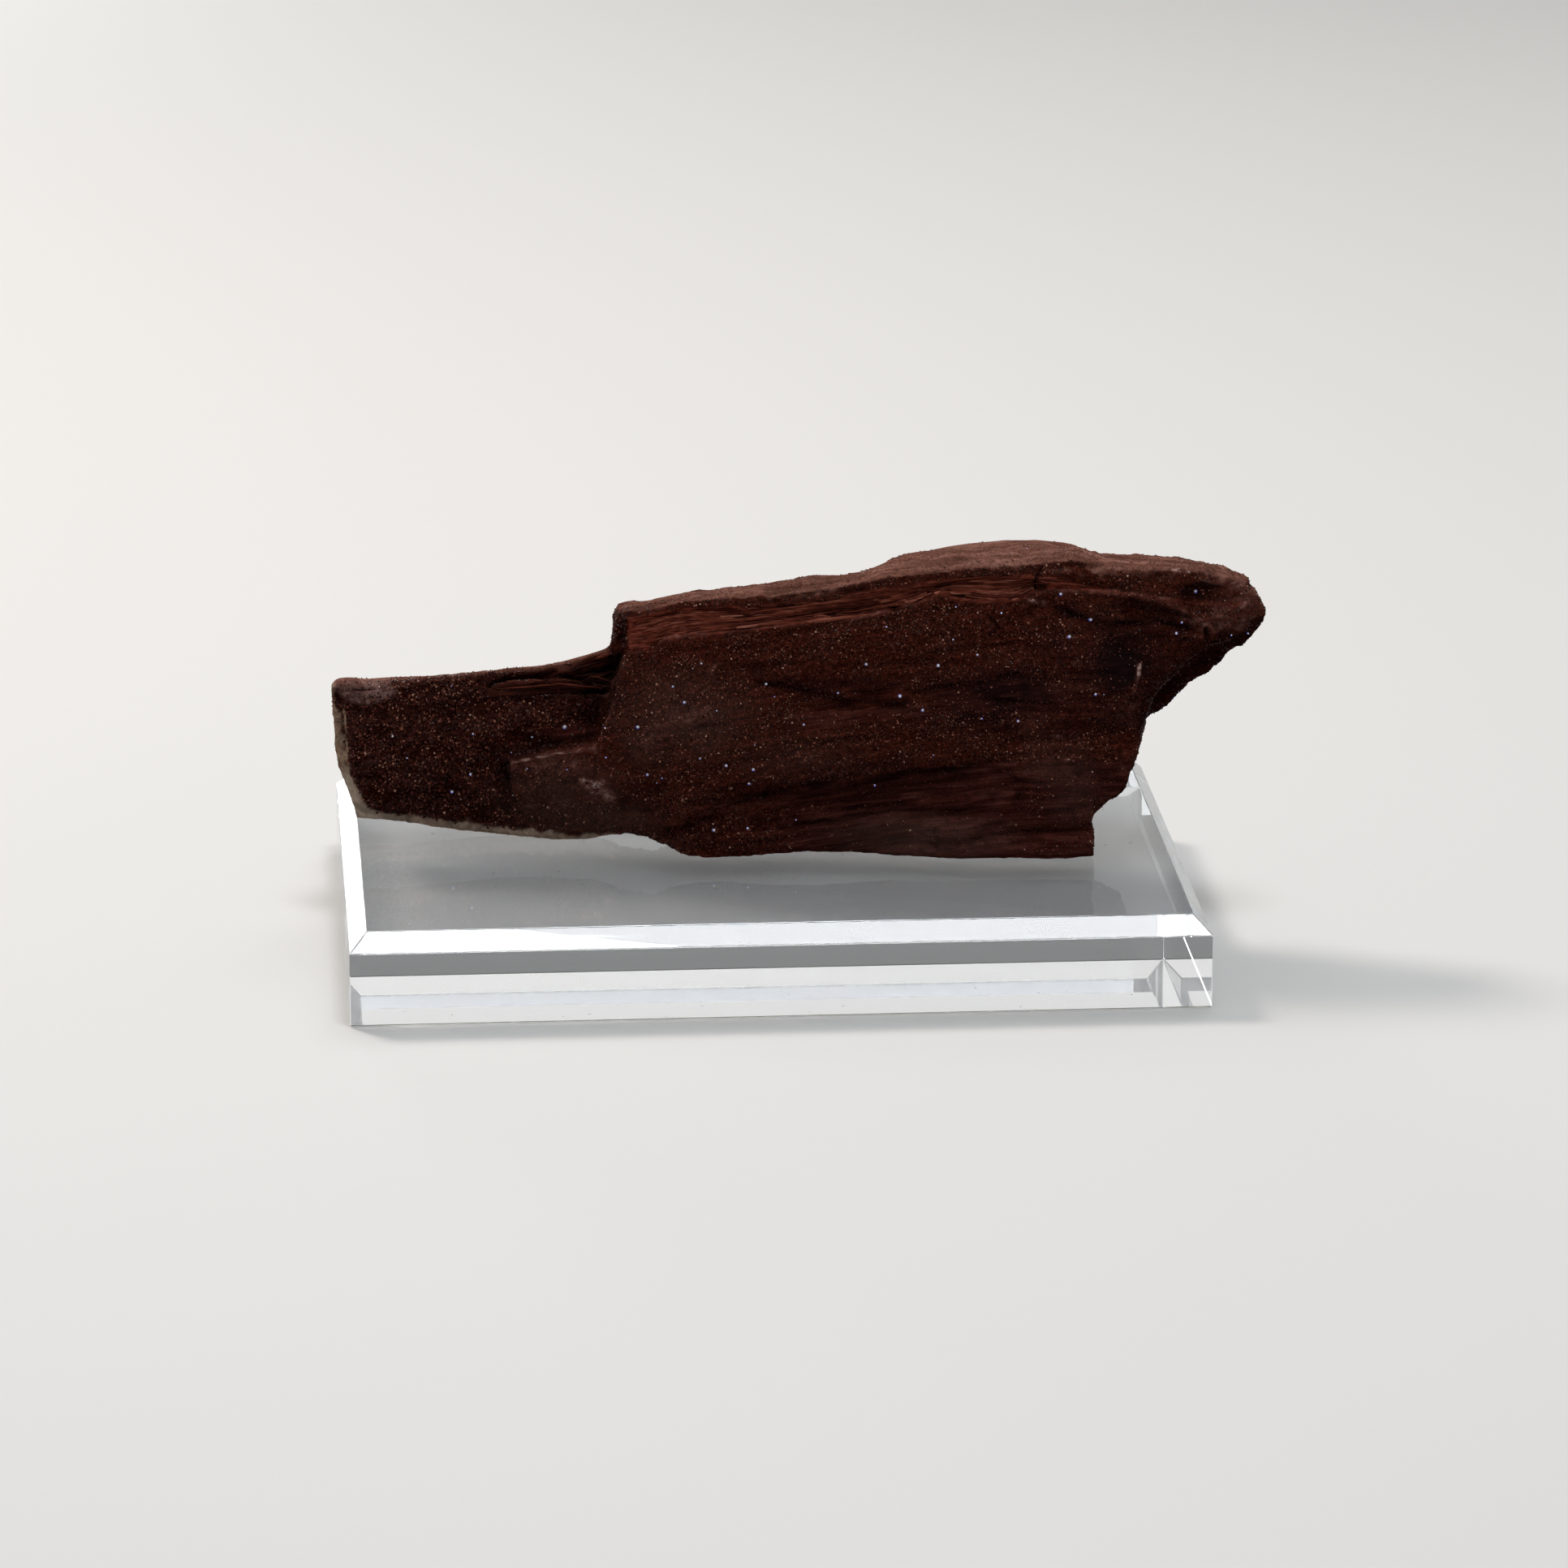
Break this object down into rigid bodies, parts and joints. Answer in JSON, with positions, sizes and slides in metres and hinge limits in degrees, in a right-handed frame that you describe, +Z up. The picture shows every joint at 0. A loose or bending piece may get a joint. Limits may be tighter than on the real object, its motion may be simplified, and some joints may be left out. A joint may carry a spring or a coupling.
{
  "type": "petrified wood specimen",
  "caption": "Long splinter of dark red-brown petrified wood with a sparkling quartz skin, standing on its narrow edge on a clear acrylic display block with chamfered edges.",
  "frame": {"origin": "centre of the display block's underside", "axes": "+X along the block's length towards the wood's overhanging tip, +Y to the block's back, +Z up"},
  "size_m": [0.1968, 0.127, 0.084],
  "materials": {
    "silicified_wood": "rough split stone under a glittering drusy quartz skin, with a pale crust on the left end",
    "clear_acrylic": "clear, polished on every face and chamfer"
  },
  "bodies": {
    "root": {"petrified_wood": "silicified_wood", "display_block": "clear_acrylic"}
  },
  "joints": []
}
